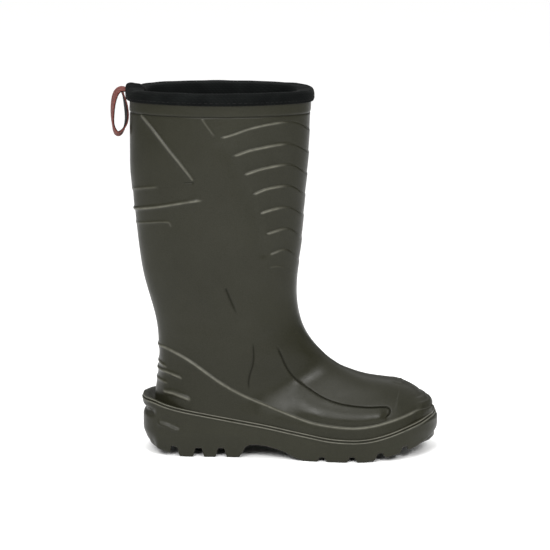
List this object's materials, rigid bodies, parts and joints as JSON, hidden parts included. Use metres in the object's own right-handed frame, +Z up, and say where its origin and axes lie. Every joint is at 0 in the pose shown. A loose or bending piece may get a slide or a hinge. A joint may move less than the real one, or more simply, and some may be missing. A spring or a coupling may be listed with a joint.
{
  "type": "insulated boot",
  "caption": "Knee-height insulated hunting boot for the right foot: ribbed olive foamed shell on a cleated sole, padded black collar and a red pull strap at the back.",
  "frame": {"origin": "middle of the heel on the tread, on the boot's long centre line", "axes": "+X from heel to toe, +Y towards the inner side of the foot, +Z up the leg"},
  "size_m": [0.3509, 0.1304, 0.3932],
  "materials": {
    "olive_shell": "matte moulded, fine grain",
    "olive_sole": "matte moulded",
    "collar_knit": "black knitted cloth on foam",
    "black_thread": "twisted thread",
    "red_webbing": "woven tape",
    "black_tape": "woven tape",
    "pile": "short pile",
    "foam": "closed-cell foam",
    "sock_knit": "knitted",
    "board": "pressed fibre",
    "spring_steel": "rolled strip",
    "felt": "grey felt"
  },
  "bodies": {
    "boot": {"upper_shell": "olive_shell", "outsole": "olive_sole", "shank": "spring_steel", "insole_board": "board", "lining_sock": "sock_knit", "insulation_layer": "foam", "fleece_lining": "pile", "collar_binding": "collar_knit", "collar_padding": "foam", "collar_thread": "black_thread", "pull_strap_patch": "collar_knit"},
    "footbed": {"footbed_base": "felt", "footbed_foam": "foam", "footbed_cover": "pile"},
    "pull_strap": {"pull_strap_webbing": "red_webbing", "pull_strap_tape": "black_tape"}
  },
  "joints": [
    {"name": "pull_strap_swing", "type": "hinge", "parent": "boot", "child": "pull_strap", "pos_m": [-0.0904, 0, 0.3906], "axis": [0, 1, 0], "range_deg": [0, 135]},
    {"name": "footbed_lift", "type": "hinge", "parent": "boot", "child": "footbed", "pos_m": [0.197, 0, 0.036], "axis": [0, 1, 0], "range_deg": [0, 8]}
  ]
}
